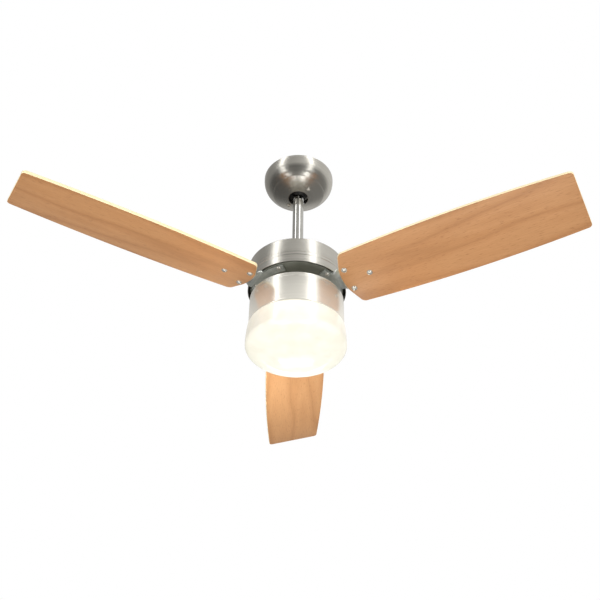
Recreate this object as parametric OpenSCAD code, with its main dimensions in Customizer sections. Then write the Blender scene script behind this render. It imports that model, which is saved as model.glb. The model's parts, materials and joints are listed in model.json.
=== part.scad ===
// Ceiling fan with light: canopy, downrod, motor with three pitched blades, light kit.
// The origin is the centre of the ceiling plane. Everything hangs below it, so heights are negative.

/* [Blades] */
// Diameter of the circle that the blade tips draw
sweep_d = 1080; // [960:10:1200]
// Blade pitch in degrees
blade_pitch = 14; // [8:1:14]
// Width of a blade at its widest
blade_w = 128; // [110:1:140]
// Thickness of the blade board
blade_t = 5.5; // [5:0.5:7]
// Distance from the fan's axis to the middle of a blade's root
blade_root = 98; // [97:1:104]
// Turn of the blade set at rest, in degrees
blade_phase = 0.8; // [-5:0.1:5]

/* [Canopy and rod] */
// Diameter of the canopy's rim
canopy_d = 144; // [140:1:160]
// Depth of the canopy
canopy_h = 55; // [55:1:58]
// Diameter of the opening in the canopy
canopy_hole_d = 41; // [40:1:44]
// Outer diameter of the downrod
rod_d = 22; // [20:0.5:22]
// Diameter of the hanger ball
ball_d = 48; // [46:1:48]

/* [Motor cover] */
// Height of the cover's top below the ceiling
cover_top = 253; // [240:1:320]
// Diameter of the cover
cover_d = 186; // [184:1:200]
// Height of the cover
cover_h = 57; // [54:1:60]

/* [Light kit] */
// Gap between the motor cover and the light housing
arm_gap = 21; // [20:1:24]
// Diameter of the light housing
housing_d = 176; // [176:1:190]
// Height of the light housing
housing_h = 64; // [62:1:80]
// Largest diameter of the glass shade
shade_d = 184; // [182:1:200]
// Height of the shade below the housing
shade_h = 62; // [60:1:80]

/* [Sheet and fasteners] */
// Thickness of spun and pressed sheet
sheet = 1.2; // [1:0.1:1.4]
// Thickness of the blade arm's steel
arm_t = 3; // [2.5:0.5:3]
// Thickness of the glass
glass_t = 3; // [2.5:0.5:4]

/* [Hidden] */
$fn = 96;
eps = 0.01;

// Turn of the hanger bracket about the fan's axis
bracket_turn = -49.5;
bracket_sheet = 2.5;
bracket_disc_r = 50;
bracket_leg_u = 38;
bracket_leg_w = 30;
slot_x = 38;
slot_l = 16;
slot_w = 5.5;
wire_hole_r = 17;

// The hanger ball and its seat
ball_r = ball_d / 2;
ball_z = -31;
ball_top = -17;
seat_clear = 0.1;
seat_low = -46;
seat_high = -37;
key_w = 4.4;
groove_r = ball_r - 2.8;
pin_r = 3;
ball_pin_z = -21;
canopy_screw_r = 31;
canopy_rim = 2;
canopy_pad_z = -51.4;
canopy_side_h = 37;
canopy_flare = 20;
canopy_bow = 2.6;
bowl_slope = 0.577;
bowl_w = canopy_d / 2 - canopy_flare - canopy_hole_d / 2;
bowl_flatten = (canopy_rim + canopy_side_h + bowl_slope * bowl_w - canopy_h + 1) / pow(bowl_w, 2);
bowl_wall = 1.3;

// The rod and the yoke that it ends in
rod_r = rod_d / 2;
rod_bore_r = rod_r - 1.8;
rod_top = -13;
rod_low = -(cover_top - 6);
yoke_r = 16;
yoke_top = -(cover_top - 34);
yoke_pin_z = -(cover_top - 20);
yoke_screw_z = -(cover_top - 28);
clip_bend = 2.1;
flange_r = 32;
flange_t = 4;
flange_top = -cover_top - sheet;
yoke_low = flange_top - flange_t;
coupling_r = 31;
coupling_h = 42;
cover_screw_r = 25;

// The motor, from the top down
shaft_r = 8;
shaft_bore_r = 5;
cover_r = cover_d / 2;
cover_low = -(cover_top + cover_h);
shell_r = 74;
shell_wall = 4;
shell_plate = 3;
shell_top = yoke_low - 1.3;
shell_low = cover_low + 3;
shell_split = (shell_top + shell_low) / 2;
lug_r = 82;
lug_t = 3;
rotor_screw_r = 78;
rotor_flange_r = 87;
core_r = 54;
core_top = shell_top - 11;
core_low = shell_low + 11.5;
teeth = 16;
coil_inner_r = 29;
coil_outer_r = 47;
coil_head = 6;
air_gap = 0.5;
race_inner_r = 11.8;
race_outer_r = 13.7;
bearing_r = 17.5;
bearing_w = 7;
ball_track_r = 12.75;
track_r = 2.5;
bearing_ball_r = 2.4;
bearing_balls = 9;
seat_wall = 3.5;
upper_bearing_z = shell_top - shell_plate - bearing_w / 2;
lower_bearing_z = shell_low + shell_plate + bearing_w / 2;

// The blade arms: a foot under the rotor's flange, a step down, a twist, a pitched plate
arm_count = 3;
foot_in_r = 68;
foot_out_r = 85;
foot_from = -24;
foot_to = 41;
foot_screw_r = 79;
foot_screw_a = [-16, 34];
strip_w = 48;
strip_inset = 0.05;
step_in = 80;
step_out = 86;
twist_in = 90.5;
plate_in = 97.5;
plate_hole_in = 111;
plate_hole_t = 22;
plate_hole_out = 152;
// The height of the blade's lower face on its centre line
blade_z = -(cover_top + cover_h + arm_gap) + 10.6;
// The arm's strip twists about its own middle
pivot_z = blade_z + (blade_t + arm_t / 2) * cos(blade_pitch);
screw_r = 2.4;
screw_hole_r = 2.6;

// The blade's outline in its own plane: x runs out from the axis, y across the blade
tip_s = sqrt(pow(sweep_d / 2, 2) - pow(blade_w * 0.44, 2));
wide_s = 325;
side_bow_r = 3150;
tip_corner_r = 7;
root_corner_r = 12;
root_bow_r = 110;
root_end_t = 52;

// The light kit
housing_r = housing_d / 2;
housing_top = -(cover_top + cover_h + arm_gap);
housing_low = housing_top - housing_h;
nut_h = 6;
nut_flats = 24;
kit_plate_r = 40;
kit_plate_t = 2.5;
kit_plate_top = housing_top - sheet;
kit_nut_top = kit_plate_top - kit_plate_t;
shaft_low = kit_nut_top - nut_h - 5;
tray_r = 83;
tray_t = 1.5;
tray_low = housing_low + 13;
standoff_r = 3.5;
standoff_ring_r = 32;
lamp_y = 27;
lamp_z = tray_low - 34;
holder_r = 13.5;
holder_mouth = 34;
holder_back = 66;
bulb_r = 22.5;
bulb_x = 2.5;
cap_r = 7;
cap_end = 58;

// The lead's route, from the upper connector to the lower one
lead_r = 1.9;
lead_aside = 6;
lead_high = ball_pin_z + pin_r - 1.4;
lead_low = shaft_low - 8;
lead_pin_side = [-lead_aside * sin(bracket_turn), lead_aside * cos(bracket_turn), 0];
lead_route = [
    lead_pin_side + [0, 0, lead_high],
    lead_pin_side + [0, 0, ball_z - 10],
    [0, lead_aside, yoke_top],
    [0, lead_aside, yoke_pin_z - 6],
    [0, 0, rod_low - 8],
    [0, 0, lead_low + lead_r]
];

// The glass shade and its twist lock
shade_r = shade_d / 2;
shoulder_z = housing_low - 1;
neck_r = housing_r - 5.8;
neck_top = housing_low + 8;
ring_t = 2;
ring_top = housing_low + 8.5;
lug_count = 3;
lock_lug_t = 1.5;
lock_lug_a = 12;
lock_lug_from = 24;
clip_ledge_t = 1.8;
clip_a = 18;
shade_low = housing_low - shade_h;
shade_wide_z = housing_low - 37;
shade_corner = [30, 15];
shade_sag = 8;

// Points along a round or oval arc in a profile, from angle a0 to a1
function arc(cx, cz, rx, rz, a0, a1, n = 12) =
    [for (i = [0:n]) let (a = a0 + (a1 - a0) * i / n) [cx + rx * cos(a), cz + rz * sin(a)]];

function unit(v) = v / norm(v);

// The arc that rounds the corner b between a and c
function fillet(a, b, c, r, n = 6) =
    let (
        u = unit(a - b),
        v = unit(c - b),
        half = acos(u * v) / 2,
        m = b + unit(u + v) * r / sin(half),
        p = b + u * r / tan(half) - m,
        q = b + v * r / tan(half) - m,
        a0 = atan2(p.y, p.x),
        turn = (atan2(q.y, q.x) - a0 + 540) % 360 - 180
    )
    [for (i = [0:n]) m + r * [cos(a0 + turn * i / n), sin(a0 + turn * i / n)]];

// The same points on the other side, in reverse, without the first, which lies on the middle line
function mirror_y(points) = [for (i = [len(points) - 1:-1:1]) [points[i].x, -points[i].y]];

module ring(r_out, r_in, z_low, z_high) {
    difference() {
        translate([0, 0, z_low]) cylinder(r = r_out, h = z_high - z_low);
        translate([0, 0, z_low - 1]) cylinder(r = r_in, h = z_high - z_low + 2);
    }
}

module turned(points) {
    rotate_extrude($fn = 180) polygon(points);
}

module around(count, from = 0) {
    for (i = [0:count - 1]) rotate(from + i * 360 / count) children();
}

module box(low, high) {
    translate(low) cube(high - low);
}

// A closed skin over a row of sections, each a ring of the same even number of points
module lofted(sections) {
    sides = len(sections[0]);
    last = len(sections) - 1;
    cap = [for (k = [0:sides / 2 - 2]) each
        [[k, k + 1, sides - 2 - k], [k, sides - 2 - k, sides - 1 - k]]];
    polyhedron(
        points = [for (section = sections) each section],
        faces = concat(
            cap,
            [for (i = [0:last - 1], k = [0:sides - 1])
                let (a = i * sides, b = a + sides, next = (k + 1) % sides)
                each [[a + k, b + k, b + next], [a + k, b + next, a + next]]],
            [for (t = cap) [for (k = [2:-1:0]) last * sides + t[k]]]
        )
    );
}

// A round wire through a list of points, none of its parts along X
module wire(points, r, sides = 10) {
    last = len(points) - 1;
    lofted([for (i = [0:last])
        let (
            along = unit(points[min(i + 1, last)] - points[max(i - 1, 0)]),
            u = unit(cross(along, [1, 0, 0])),
            v = cross(along, u)
        )
        [for (k = [0:sides - 1]) points[i] + r * (cos(k * 360 / sides) * u + sin(k * 360 / sides) * v)]]);
}

// A round-headed screw that points up, its head under z = 0
module screw(r, length, head_r, head_h) {
    cylinder(r = r, h = length, $fn = 32);
    intersection() {
        translate([0, 0, -head_h]) cylinder(r = head_r, h = head_h, $fn = 48);
        translate([0, 0, head_r * 1.25 - head_h]) sphere(r = head_r * 1.25, $fn = 48);
    }
}

/* ---- at the ceiling ---- */

// The seat is part of a hollow ball, open on one side so that the rod can be slid in
module hanger_bracket() {
    seat_out_r = ball_r + seat_clear + bracket_sheet;
    color("silver")
    difference() {
        union() {
            translate([0, 0, -bracket_sheet]) cylinder(r = bracket_disc_r, h = bracket_sheet);
            rotate(bracket_turn) {
                for (side = [0, 1]) mirror([side, 0, 0])
                    box([bracket_leg_u, -bracket_leg_w / 2, seat_high - bracket_sheet],
                        [bracket_leg_u + bracket_sheet, bracket_leg_w / 2, -bracket_sheet + eps]);
                box([-bracket_leg_u - bracket_sheet, -bracket_leg_w / 2, seat_high - bracket_sheet],
                    [bracket_leg_u + bracket_sheet, bracket_leg_w / 2, seat_high]);
                intersection() {
                    translate([0, 0, ball_z]) sphere(r = seat_out_r);
                    translate([0, 0, seat_low]) cylinder(r = seat_out_r, h = seat_high - seat_low);
                }
            }
        }
        translate([0, 0, ball_z]) sphere(r = ball_r + seat_clear);
        translate([0, 0, -bracket_sheet - 1]) cylinder(r = wire_hole_r, h = bracket_sheet + 2);
        for (x = [-slot_x, slot_x]) translate([x, 0, -bracket_sheet - 1]) {
            box([-(slot_l - slot_w) / 2, -slot_w / 2, 0],
                [(slot_l - slot_w) / 2, slot_w / 2, bracket_sheet + 2]);
            for (end = [-1, 1]) translate([end * (slot_l - slot_w) / 2, 0, 0])
                cylinder(d = slot_w, h = bracket_sheet + 2, $fn = 32);
        }
        rotate(bracket_turn) {
            box([-rod_r - 1.5, 0, seat_low - 1], [rod_r + 1.5, ball_r + 10, seat_high + 1]);
            for (x = [-1, 1]) translate([x * canopy_screw_r, 0, seat_high - bracket_sheet - 1])
                cylinder(r = 2.05, h = bracket_sheet + 2, $fn = 32);
        }
    }
    // The key that runs in the ball's groove
    color("silver")
    rotate(bracket_turn) translate([0, 0, ball_z]) rotate([28, 0, 0])
        box([-key_w / 2, -ball_r - 1.2, -2], [key_w / 2, -groove_r - 0.5, 2]);
}

// The side curves in to a crease, and a shallow bowl goes on from there to the rod's opening
function canopy_side(inward, last) = [for (k = [0:last])
    [canopy_d / 2 - inward - canopy_flare * pow(k / 12, canopy_bow), -canopy_rim - canopy_side_h * k / 12]];

function canopy_bowl(rise) = [for (k = [1:12]) let (u = bowl_w * k / 12)
    [canopy_hole_d / 2 + bowl_w - u,
     rise - canopy_rim - canopy_side_h - bowl_slope * u + bowl_flatten * u * u]];

module canopy() {
    r = canopy_d / 2;
    outer = concat(canopy_side(0, 12), canopy_bowl(0));
    inner = concat(canopy_side(sheet, 11), canopy_bowl(bowl_wall));
    back = [for (k = [len(inner) - 1:-1:0]) inner[k]];
    color([0.74, 0.72, 0.68])
    difference() {
        union() {
            turned(concat([[r - sheet, 0], [r, 0]], outer, back));
            rotate(bracket_turn) for (x = [-1, 1])
                translate([x * canopy_screw_r, 0, canopy_pad_z]) cylinder(r = 4.6, h = 4.2, $fn = 40);
        }
        rotate(bracket_turn) for (x = [-1, 1])
            translate([x * canopy_screw_r, 0, -canopy_h - 1]) cylinder(r = 2.2, h = 12, $fn = 32);
    }
}

module canopy_screws() {
    color("silver")
    rotate(bracket_turn) for (x = [-1, 1])
        translate([x * canopy_screw_r, 0, canopy_pad_z]) screw(1.95, 15, 3.8, 2.4);
}

module remote_receiver() {
    color([0.92, 0.92, 0.9])
    rotate(bracket_turn) {
        box([-17, -50, -26], [33, -28, -bracket_sheet]);
        translate([8, -39, -28]) cylinder(r = 2, h = 2 + eps, $fn = 24);
    }
}

module terminal_block() {
    color([0.93, 0.9, 0.82])
    rotate(bracket_turn)
    difference() {
        box([-16, 29, -16], [16, 44, -bracket_sheet]);
        for (x = [-10, 0, 10]) {
            translate([x, 36.5, -17]) cylinder(r = 2.4, h = 7, $fn = 24);
            translate([x, 28, -9]) rotate([-90, 0, 0]) cylinder(r = 1.6, h = 17, $fn = 24);
        }
    }
}

/* ---- the hanging rod ---- */

module hanger_ball() {
    color([0.08, 0.08, 0.08])
    rotate(bracket_turn)
    difference() {
        translate([0, 0, ball_z]) sphere(r = ball_r);
        box([-ball_r, -ball_r, ball_top], [ball_r, ball_r, 0]);
        translate([0, 0, -60]) cylinder(r = rod_r + 0.05, h = 60);
        // Slot that the pin drops into
        box([-ball_r, -pin_r - 0.1, ball_pin_z], [ball_r, pin_r + 0.1, 0]);
        translate([-ball_r, 0, ball_pin_z]) rotate([0, 90, 0]) cylinder(r = pin_r + 0.1, h = ball_d);
        // Groove for the bracket's key
        intersection() {
            translate([0, 0, ball_z]) rotate([0, 90, 0])
                ring(ball_r + 2, groove_r, -key_w / 2 - 0.4, key_w / 2 + 0.4);
            box([-ball_r, -ball_r - 3, -80], [ball_r, -10, 0]);
        }
        // Set screw's hole
        translate([0, 0, ball_z + 4]) rotate([-90, 0, 0]) cylinder(r = 2.5, h = ball_r + 1, $fn = 32);
    }
}

module ball_pin() {
    color("silver")
    rotate(bracket_turn) translate([-20, 0, ball_pin_z]) rotate([0, 90, 0])
        cylinder(r = pin_r, h = 40, $fn = 48);
}

module ball_set_screw() {
    color("dimgray")
    rotate(bracket_turn) translate([0, rod_r + 0.05, ball_z + 4]) rotate([-90, 0, 0])
    difference() {
        cylinder(r = 2.4, h = 8, $fn = 32);
        translate([0, 0, 5]) cylinder(r = 1.3, h = 4, $fn = 6);
    }
}

module downrod() {
    color([0.8, 0.8, 0.79])
    difference() {
        ring(rod_r, rod_bore_r, rod_low, rod_top);
        rotate(bracket_turn) translate([-20, 0, ball_pin_z]) rotate([0, 90, 0])
            cylinder(r = pin_r + 0.05, h = 40);
        translate([-20, 0, yoke_pin_z]) rotate([0, 90, 0]) cylinder(r = pin_r + 0.05, h = 40);
    }
}

// The lead runs down the rod beside the two pins, then down the middle of the hollow shaft
module motor_lead() {
    color([0.9, 0.9, 0.88])
    wire(lead_route, lead_r);
}

// One connector above the rod, one below the shaft
module lead_connectors() {
    color("white") {
        rotate(bracket_turn) box([-4.5, -3.5, ball_pin_z + pin_r + 0.3], [4.5, 7.5, -5]);
        box([-5, -5, lead_low - 16], [5, 5, lead_low]);
    }
}

/* ---- coupling to the motor ---- */

module coupling_cover() {
    hole_r = rod_r + 0.4;
    oval_h = coupling_h * 1.08;
    base = -cover_top;
    out_a = acos(hole_r / coupling_r);
    in_a = acos(hole_r / (coupling_r - sheet));
    color([0.74, 0.72, 0.68])
    turned(concat(
        arc(0, base, coupling_r, oval_h, 0, out_a, 18),
        arc(0, base, coupling_r - sheet, oval_h - sheet, in_a, 0, 18)
    ));
}

module motor_yoke() {
    color([0.45, 0.45, 0.45])
    difference() {
        union() {
            ring(yoke_r, shaft_r, yoke_low, yoke_top);
            ring(flange_r, shaft_r, yoke_low, flange_top);
        }
        translate([0, 0, rod_low]) cylinder(r = rod_r + 0.05, h = 60);
        translate([-30, 0, yoke_pin_z]) rotate([0, 90, 0]) cylinder(r = pin_r + 0.05, h = 60, $fn = 48);
        for (a = [45, 135]) rotate(a) translate([0, 0, yoke_screw_z]) rotate([0, 90, 0])
            cylinder(r = 2.5, h = 30, $fn = 32);
        around(3, 90) translate([cover_screw_r, 0, yoke_low - 1])
            cylinder(r = 2, h = flange_t + 2, $fn = 32);
    }
}

module yoke_pin() {
    color("silver")
    difference() {
        union() {
            translate([-yoke_r, 0, yoke_pin_z]) rotate([0, 90, 0])
                cylinder(r = pin_r, h = 2 * yoke_r + 6, $fn = 48);
            translate([-yoke_r - 2.5, 0, yoke_pin_z]) rotate([0, 90, 0])
                cylinder(r = 4.8, h = 2.5, $fn = 48);
        }
        translate([yoke_r + 3, 0, yoke_pin_z - 5]) cylinder(r = 1, h = 10, $fn = 24);
    }
}

// A spring clip: one straight leg through the pin, one leg bent round it
module yoke_clip() {
    color("silver")
    translate([yoke_r + 3, 0, yoke_pin_z])
    wire(concat(
        [[0, 0, 6.5]],
        [for (a = [0:-30:-180]) [0, clip_bend * (cos(a) - 1), -6 + clip_bend * sin(a)]],
        [[0, -2 * clip_bend, 3], [0, -2 * clip_bend - 1.5, 6]]
    ), 0.85);
}

module yoke_set_screws() {
    color("dimgray")
    for (a = [45, 135]) rotate(a) translate([rod_r + 0.05, 0, yoke_screw_z]) rotate([0, 90, 0])
        difference() {
            cylinder(r = 2.4, h = 8, $fn = 32);
            translate([0, 0, 5]) cylinder(r = 1.3, h = 4, $fn = 6);
        }
}

/* ---- the motor ---- */

// A spun cup, open below, with fine turned grooves around it
module motor_cover() {
    corner = 2.5;
    groove = 0.5;
    color([0.74, 0.72, 0.68])
    difference() {
        turned(concat(
            [[yoke_r + 0.6, -cover_top]],
            arc(cover_r - corner, -cover_top - corner, corner, corner, 90, 0, 6),
            [for (z = [cover_low + 23.5, cover_low + 16.5]) each
                [[cover_r, z + groove], [cover_r - groove, z], [cover_r, z - groove]]],
            [[cover_r, cover_low], [cover_r - sheet, cover_low]],
            arc(cover_r - corner, -cover_top - corner, corner - sheet, corner - sheet, 0, 90, 6),
            [[yoke_r + 0.6, -cover_top - sheet]]
        ));
        around(3, 90) translate([cover_screw_r, 0, -cover_top - 5]) cylinder(r = 2.2, h = 10, $fn = 32);
    }
}

module cover_screws() {
    color("silver")
    around(3, 90) translate([cover_screw_r, 0, -cover_top]) mirror([0, 0, 1])
        screw(1.95, sheet + flange_t, 3.8, 2.2);
}

module motor_shaft() {
    color([0.6, 0.6, 0.6])
    ring(shaft_r, shaft_bore_r, shaft_low, rod_low);
}

// Laminated core with a slot between each pair of teeth
module stator_core() {
    color([0.35, 0.36, 0.38])
    difference() {
        ring(core_r, shaft_r, core_low, core_top);
        around(teeth) {
            box([coil_inner_r - 1, -3, core_low - 1], [coil_outer_r + 1, 3, core_top + 1]);
            box([coil_outer_r, -1.2, core_low - 1], [core_r + 1, 1.2, core_top + 1]);
        }
    }
}

module stator_windings() {
    color([0.72, 0.36, 0.16])
    union() {
        ring(coil_outer_r, coil_inner_r, core_top, core_top + coil_head);
        ring(coil_outer_r, coil_inner_r, core_low - coil_head, core_low);
        around(teeth) box([coil_inner_r, -2.6, core_low - eps], [coil_outer_r, 2.6, core_top + eps]);
    }
}

module race(r_in, r_out, z) {
    translate([0, 0, z]) rotate_extrude()
        difference() {
            translate([r_in, -bearing_w / 2]) square([r_out - r_in, bearing_w]);
            translate([ball_track_r, 0]) circle(r = track_r, $fn = 48);
        }
}

module bearing_ball_set(z) {
    around(bearing_balls) translate([ball_track_r, 0, z]) sphere(r = bearing_ball_r, $fn = 32);
}

module upper_inner_race() { color("silver") race(shaft_r, race_inner_r, upper_bearing_z); }
module upper_outer_race() { color("silver") race(race_outer_r, bearing_r, upper_bearing_z); }
module upper_balls() { color("gray") bearing_ball_set(upper_bearing_z); }
module lower_inner_race() { color("silver") race(shaft_r, race_inner_r, lower_bearing_z); }
module lower_outer_race() { color("silver") race(race_outer_r, bearing_r, lower_bearing_z); }
module lower_balls() { color("gray") bearing_ball_set(lower_bearing_z); }

// One half of the rotor: plate, wall, bearing seat and the lugs that clamp the halves
module rotor_half(outer, split, seat_z, plate_r) {
    inner = outer > split ? outer - shell_plate : outer + shell_plate;
    lug_far = outer > split ? split + lug_t : split - lug_t;
    difference() {
        union() {
            ring(plate_r, race_outer_r - 1, min(outer, inner), max(outer, inner));
            ring(shell_r, shell_r - shell_wall, min(outer, split), max(outer, split));
            ring(bearing_r + seat_wall, bearing_r, min(inner, seat_z), max(inner, seat_z));
            ring(lug_r, shell_r - shell_wall, min(split, lug_far), max(split, lug_far));
        }
        around(6, 30) translate([rotor_screw_r, 0, split - lug_t - 1])
            cylinder(r = 2.1, h = 2 * lug_t + 2, $fn = 32);
    }
}

module rotor_upper_shell() {
    color([0.3, 0.3, 0.28])
    rotor_half(shell_top, shell_split, upper_bearing_z - bearing_w / 2, shell_r);
}

module rotor_lower_shell() {
    color([0.3, 0.3, 0.28])
    difference() {
        rotor_half(shell_low, shell_split, lower_bearing_z + bearing_w / 2, rotor_flange_r);
        foot_holes(shell_low - 1, shell_plate + 2, screw_hole_r);
    }
}

module rotor_cage() {
    color([0.5, 0.5, 0.52])
    ring(shell_r - shell_wall, core_r + air_gap, core_low, core_top);
}

module rotor_screws() {
    color("silver")
    around(6, 30) translate([rotor_screw_r, 0, shell_split - lug_t]) screw(1.95, 2 * lug_t + 2, 3.6, 2.2);
}

/* ---- arms and blades ---- */

module blade_place(i) {
    rotate(90 + blade_phase + (i - 1) * 360 / arm_count) children();
}

// Into the blade's own plane: z = 0 is the blade's lower face
module pitched() {
    translate([0, 0, pivot_z]) rotate([-blade_pitch, 0, 0])
        translate([0, 0, -blade_t - arm_t / 2]) children();
}

module foot_holes(z, h, r) {
    for (i = [1:arm_count]) blade_place(i)
        for (a = foot_screw_a) rotate(a) translate([foot_screw_r, 0, z]) cylinder(r = r, h = h, $fn = 32);
}

module blade_holes(z, h, r) {
    for (p = [[plate_hole_in, plate_hole_t], [plate_hole_in, -plate_hole_t], [plate_hole_out, 0]])
        translate([p.x, p.y, z]) cylinder(r = r, h = h, $fn = 32);
}

// The plate that the blade screws into: wide at the blade's root, narrow at its far screw
module arm_plate_outline() {
    root = [plate_in, strip_w / 2];
    wide = [plate_hole_in + 3, plate_hole_t + 10];
    far = [plate_hole_out + 11, 12];
    half = concat([root], fillet(root, wide, far, 8), fillet(wide, far, [far.x, 0], 9));
    polygon(concat(half, [for (i = [len(half) - 1:-1:0]) [half[i].x, -half[i].y]]));
}

// The strip's section at the distance x, turned by the angle a about the strip's middle
function strip_section(x, a) =
    let (
        half = strip_w / 2 - strip_inset,
        t = arm_t / 2 - strip_inset,
        outline = concat([for (k = [-3:3]) [half * k / 3, -t]], [for (k = [3:-1:-3]) [half * k / 3, t]])
    )
    [for (p = outline) [x, p.x * cos(a) - p.y * sin(a), pivot_z + p.x * sin(a) + p.y * cos(a)]];

module arm_body() {
    half = strip_w / 2;
    foot_low = shell_low - arm_t;
    strip_top = pivot_z + arm_t / 2;
    strip_low = pivot_z - arm_t / 2;
    difference() {
        union() {
            // Foot: a sector of a flat ring under the rotor's flange
            translate([0, 0, foot_low]) linear_extrude(arm_t)
                polygon(concat(arc(0, 0, foot_out_r, foot_out_r, foot_from, foot_to, 26),
                               arc(0, 0, foot_in_r, foot_in_r, foot_to, foot_from, 26)));
            // Step down from the foot to the strip
            translate([0, half, 0]) rotate([90, 0, 0]) linear_extrude(strip_w)
                polygon([[step_in, foot_low], [step_in, shell_low], [step_out, shell_low],
                         [step_out + 2.5, strip_top], [twist_in, strip_top], [twist_in, strip_low],
                         [step_out - 1.5, strip_low], [step_out - 4, foot_low]]);
            // Twist: its two ends run flat into the step and the plate
            lofted(concat(
                [strip_section(twist_in - 0.5, 0)],
                [for (k = [0:5])
                    strip_section(twist_in + 0.2 + (plate_in - twist_in - 0.4) * k / 5, -blade_pitch * k / 5)],
                [strip_section(plate_in + 0.5, -blade_pitch)]
            ));
            pitched() translate([0, 0, blade_t]) linear_extrude(arm_t) arm_plate_outline();
        }
        for (a = foot_screw_a) rotate(a) translate([foot_screw_r, 0, foot_low - 1])
            cylinder(r = screw_hole_r, h = arm_t + 2, $fn = 32);
        pitched() blade_holes(blade_t - 1, arm_t + 2, screw_r + 0.05);
    }
}

module foot_screws() {
    color("silver")
    for (i = [1:arm_count]) blade_place(i)
        for (a = foot_screw_a) rotate(a) translate([foot_screw_r, 0, shell_low - arm_t])
            screw(screw_r, arm_t + shell_plate + 1.5, 4.4, 3);
}

// The blade's half width at the distance s from the axis
function half_width(s) = blade_w / 2 - pow(s - wide_s, 2) / (2 * side_bow_r);

function root_edge(t) = blade_root + root_bow_r - sqrt(pow(root_bow_r, 2) - t * t);

function blade_half() =
    let (
        root_s = root_edge(half_width(120)),
        root_corner = [root_s, half_width(root_s)],
        near_root = [root_s + 30, half_width(root_s + 30)],
        root_next = [root_edge(root_end_t - 20), root_end_t - 20],
        near_tip = [tip_s - 30, half_width(tip_s - 30)],
        tip_corner = [tip_s, half_width(tip_s)]
    )
    concat(
        [for (t = [0:8:24]) [root_edge(t), t]],
        fillet(root_next, root_corner, near_root, root_corner_r),
        [for (k = [1:15]) let (s = near_root.x + (near_tip.x - near_root.x) * k / 15) [s, half_width(s)]],
        fillet(near_tip, tip_corner, [tip_s, 0], tip_corner_r)
    );

module blade_body() {
    pitched() difference() {
        linear_extrude(blade_t) polygon(concat(blade_half(), mirror_y(blade_half())));
        blade_holes(-1, blade_t + 2, screw_hole_r);
    }
}

module arm_1() { color([0.72, 0.74, 0.73]) blade_place(1) arm_body(); }
module arm_2() { color([0.72, 0.74, 0.73]) blade_place(2) arm_body(); }
module arm_3() { color([0.72, 0.74, 0.73]) blade_place(3) arm_body(); }
module blade_1() { color([0.78, 0.6, 0.42]) blade_place(1) blade_body(); }
module blade_2() { color([0.78, 0.6, 0.42]) blade_place(2) blade_body(); }
module blade_3() { color([0.78, 0.6, 0.42]) blade_place(3) blade_body(); }

// Screws with a washer under each head, from below, into the arm's plate
module blade_screws() {
    washer_t = 1;
    color("silver")
    for (i = [1:arm_count]) blade_place(i) pitched() {
        blade_holes(-washer_t, washer_t, 5.4);
        for (p = [[plate_hole_in, plate_hole_t], [plate_hole_in, -plate_hole_t], [plate_hole_out, 0]])
            translate([p.x, p.y, -washer_t]) screw(screw_r, washer_t + blade_t + arm_t + 1.5, 4.3, 2.6);
    }
}

/* ---- the light kit ---- */

module hex_nut(top) {
    difference() {
        translate([0, 0, top - nut_h]) cylinder(d = nut_flats / cos(30), h = nut_h, $fn = 6);
        translate([0, 0, top - nut_h - 1]) cylinder(r = shaft_r, h = nut_h + 2);
    }
}

module jam_nut() { color("silver") hex_nut(housing_top + nut_h); }
module kit_nut() { color("silver") hex_nut(kit_nut_top); }

// A spun cup, open below, with a turned groove near its top and a bead round its mouth
module light_housing() {
    corner = 2.5;
    bead = 0.7;
    groove = 0.5;
    groove_z = housing_top - 9;
    color([0.74, 0.72, 0.68])
    turned(concat(
        [[shaft_r + 0.1, housing_top]],
        arc(housing_r - corner, housing_top - corner, corner, corner, 90, 0, 6),
        [[housing_r, groove_z + groove], [housing_r - groove, groove_z], [housing_r, groove_z - groove]],
        [[housing_r, housing_low + 4]],
        arc(housing_r, housing_low + 2, bead, 2, 60, -60, 4),
        [[housing_r, housing_low], [housing_r - sheet, housing_low]],
        arc(housing_r - corner, housing_top - corner, corner - sheet, corner - sheet, 0, 90, 6),
        [[shaft_r + 0.1, housing_top - sheet]]
    ));
}

// Ledges inside the housing's mouth, each with a stop, that the shade's lugs turn onto
module housing_clips() {
    wall_r = housing_r - sheet;
    ledge_r = neck_r + ring_t + 0.6;
    ledge_top = ring_top - lock_lug_t - 0.3;
    color("silver")
    around(lug_count, lock_lug_from) {
        translate([0, 0, ledge_top - clip_ledge_t]) rotate_extrude(angle = clip_a)
            translate([ledge_r, 0]) square([wall_r - ledge_r, clip_ledge_t]);
        translate([0, 0, ledge_top - eps]) rotate_extrude(angle = 2)
            translate([ledge_r, 0]) square([wall_r - ledge_r, lock_lug_t + 1]);
    }
}

module kit_plate() {
    color([0.8, 0.8, 0.78])
    difference() {
        ring(kit_plate_r, shaft_r + 0.1, kit_plate_top - kit_plate_t, kit_plate_top);
        around(3, 90) translate([standoff_ring_r, 0, kit_plate_top - 5])
            cylinder(r = 2.1, h = 10, $fn = 32);
    }
}

module standoffs() {
    color("silver")
    around(3, 90) translate([standoff_ring_r, 0, 0])
    difference() {
        union() {
            translate([0, 0, tray_low + tray_t])
                cylinder(r = standoff_r, h = kit_nut_top - tray_low - tray_t, $fn = 48);
            translate([0, 0, kit_nut_top - eps]) cylinder(r = 2, h = kit_plate_t, $fn = 32);
        }
        translate([0, 0, tray_low]) cylinder(r = 1.55, h = 14, $fn = 32);
    }
}

module lamp_tray() {
    rim = 4;
    color("white")
    difference() {
        union() {
            ring(tray_r, 12, tray_low, tray_low + tray_t);
            ring(tray_r, tray_r - tray_t, tray_low, tray_low + rim);
        }
        around(3, 90) translate([standoff_ring_r, 0, tray_low - 1]) cylinder(r = 1.8, h = 5, $fn = 32);
    }
}

module tray_screws() {
    color("silver")
    around(3, 90) translate([standoff_ring_r, 0, tray_low]) screw(1.5, 11, 3.2, 2);
}

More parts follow.
